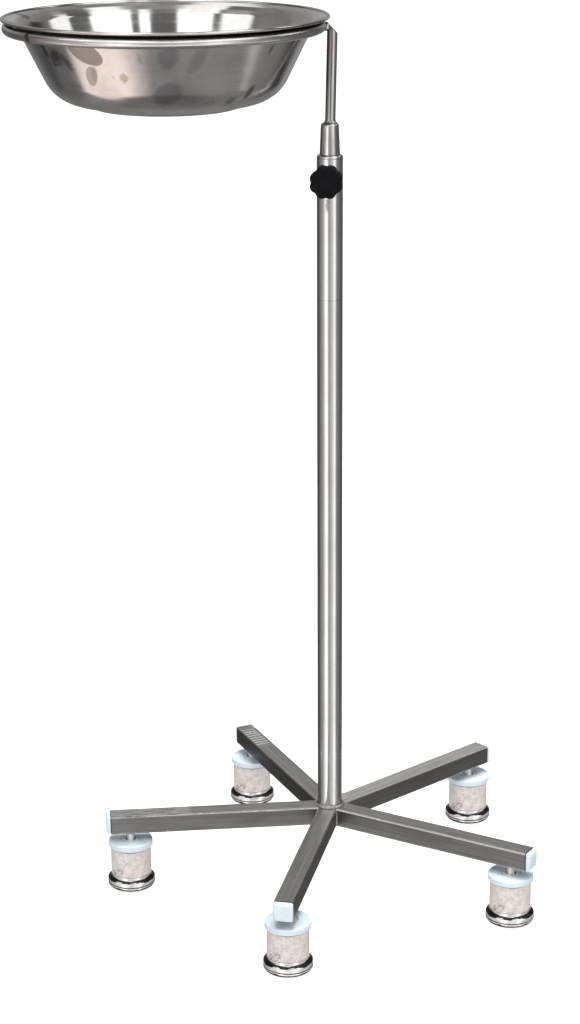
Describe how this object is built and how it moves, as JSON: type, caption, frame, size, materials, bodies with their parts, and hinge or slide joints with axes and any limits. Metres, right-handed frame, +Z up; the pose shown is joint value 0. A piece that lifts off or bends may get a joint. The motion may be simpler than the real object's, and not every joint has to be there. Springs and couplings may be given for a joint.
{
  "type": "basin stand",
  "caption": "Free-standing basin stand: a steel wash basin in a bar ring on a telescoping, swivelling column with a clamp knob, over a star base of square tube legs on screw-in levelling feet.",
  "frame": {"origin": "on the floor under the middle of the whole stand's bounding box; the column's axis stands at x 0.050479, y 0.008777", "axes": "+Z up along the column; +X to the right in the picture, away from the basin; +Y away from the camera"},
  "size_m": [0.5206, 0.4454, 0.8904],
  "materials": {
    "satin_steel": "satin ground square tube",
    "tube_steel": "fine polished round tube",
    "weld_steel": "dressed weld",
    "bar_steel": "polished round bar",
    "basin_steel": "polished spun sheet",
    "drum_metal": "fine pebbled satin",
    "chrome": "mirror",
    "zinc_steel": "bright zinc plate",
    "pale_plastic": "pale blue-white moulded plastic",
    "guide_plastic": "natural nylon",
    "black_plastic": "black moulded plastic",
    "dark_rubber": "dull black rubber"
  },
  "bodies": {
    "base": {"leg_1": "satin_steel", "leg_2": "satin_steel", "leg_3": "satin_steel", "leg_4": "satin_steel", "leg_5": "satin_steel", "leg_cap_1": "pale_plastic", "leg_cap_2": "pale_plastic", "leg_cap_3": "pale_plastic", "leg_cap_4": "pale_plastic", "leg_cap_5": "pale_plastic", "foot_nut_1": "zinc_steel", "foot_nut_2": "zinc_steel", "foot_nut_3": "zinc_steel", "foot_nut_4": "zinc_steel", "foot_nut_5": "zinc_steel", "column": "tube_steel", "column_weld": "weld_steel", "column_guide": "tube_steel", "clamp_boss": "tube_steel"},
    "clamp_screw": {"clamp_screw": "zinc_steel"},
    "clamp_knob": {"clamp_knob": "black_plastic"},
    "slider": {"tube_guide": "guide_plastic"},
    "holder": {"inner_tube": "tube_steel", "tube_socket": "tube_steel", "rod_weld": "weld_steel", "upright_rod": "bar_steel", "ring_weld": "weld_steel", "basin_ring": "bar_steel"},
    "basin": {"basin": "basin_steel"},
    "stud_1": {"foot_stud_1": "zinc_steel"},
    "foot_1": {"foot_disc_1": "pale_plastic", "foot_drum_1": "drum_metal", "foot_ring_1": "chrome", "foot_pad_1": "dark_rubber"},
    "stud_2": {"foot_stud_2": "zinc_steel"},
    "foot_2": {"foot_disc_2": "pale_plastic", "foot_drum_2": "drum_metal", "foot_ring_2": "chrome", "foot_pad_2": "dark_rubber"},
    "stud_3": {"foot_stud_3": "zinc_steel"},
    "foot_3": {"foot_disc_3": "pale_plastic", "foot_drum_3": "drum_metal", "foot_ring_3": "chrome", "foot_pad_3": "dark_rubber"},
    "stud_4": {"foot_stud_4": "zinc_steel"},
    "foot_4": {"foot_disc_4": "pale_plastic", "foot_drum_4": "drum_metal", "foot_ring_4": "chrome", "foot_pad_4": "dark_rubber"},
    "stud_5": {"foot_stud_5": "zinc_steel"},
    "foot_5": {"foot_disc_5": "pale_plastic", "foot_drum_5": "drum_metal", "foot_ring_5": "chrome", "foot_pad_5": "dark_rubber"}
  },
  "joints": [
    {"name": "height_slide", "type": "slide", "parent": "base", "child": "slider", "axis": [0, 0, 1], "range_m": [0, 0.3]},
    {"name": "swivel", "type": "hinge", "parent": "slider", "child": "holder", "pos_m": [0.05048, 0.00878, 0.6], "axis": [0, 0, 1], "continuous": true},
    {"name": "basin_lift", "type": "slide", "parent": "holder", "child": "basin", "axis": [0, 0, 1], "range_m": [0, 0.12]},
    {"name": "clamp_advance", "type": "slide", "parent": "base", "child": "clamp_screw", "axis": [-0.0958, -0.9954, 0], "range_m": [0, 0.0025]},
    {"name": "knob_turn", "type": "hinge", "parent": "clamp_screw", "child": "clamp_knob", "pos_m": [0.05048, 0.00878, 0.737], "axis": [-0.0958, -0.9954, 0], "range_deg": [-1, 721]},
    {"name": "foot_1_level", "type": "slide", "parent": "base", "child": "stud_1", "axis": [0, 0, 1], "range_m": [-0.005, 0.005]},
    {"name": "foot_1_turn", "type": "hinge", "parent": "stud_1", "child": "foot_1", "pos_m": [0.2345, -0.08989, 0.04], "axis": [0, 0, 1], "range_deg": [-1442, 1442]},
    {"name": "foot_2_level", "type": "slide", "parent": "base", "child": "stud_2", "axis": [0, 0, 1], "range_m": [-0.005, 0.005]},
    {"name": "foot_2_turn", "type": "hinge", "parent": "stud_2", "child": "foot_2", "pos_m": [0.20118, 0.1533, 0.04], "axis": [0, 0, 1], "range_deg": [-1442, 1442]},
    {"name": "foot_3_level", "type": "slide", "parent": "base", "child": "stud_3", "axis": [0, 0, 1], "range_m": [-0.005, 0.005]},
    {"name": "foot_3_turn", "type": "hinge", "parent": "stud_3", "child": "foot_3", "pos_m": [-0.0404, 0.19676, 0.04], "axis": [0, 0, 1], "range_deg": [-1442, 1442]},
    {"name": "foot_4_level", "type": "slide", "parent": "base", "child": "stud_4", "axis": [0, 0, 1], "range_m": [-0.005, 0.005]},
    {"name": "foot_4_turn", "type": "hinge", "parent": "stud_4", "child": "foot_4", "pos_m": [-0.15639, -0.01956, 0.04], "axis": [0, 0, 1], "range_deg": [-1442, 1442]},
    {"name": "foot_5_level", "type": "slide", "parent": "base", "child": "stud_5", "axis": [0, 0, 1], "range_m": [-0.005, 0.005]},
    {"name": "foot_5_turn", "type": "hinge", "parent": "stud_5", "child": "foot_5", "pos_m": [0.0135, -0.19672, 0.04], "axis": [0, 0, 1], "range_deg": [-1442, 1442]}
  ],
  "couplings": [
    {"joint": "knob_turn", "follows": "clamp_advance", "rad_per_m": 5026.5},
    {"joint": "foot_1_turn", "follows": "foot_1_level", "rad_per_m": 5026.5},
    {"joint": "foot_2_turn", "follows": "foot_2_level", "rad_per_m": 5026.5},
    {"joint": "foot_3_turn", "follows": "foot_3_level", "rad_per_m": 5026.5},
    {"joint": "foot_4_turn", "follows": "foot_4_level", "rad_per_m": 5026.5},
    {"joint": "foot_5_turn", "follows": "foot_5_level", "rad_per_m": 5026.5}
  ]
}
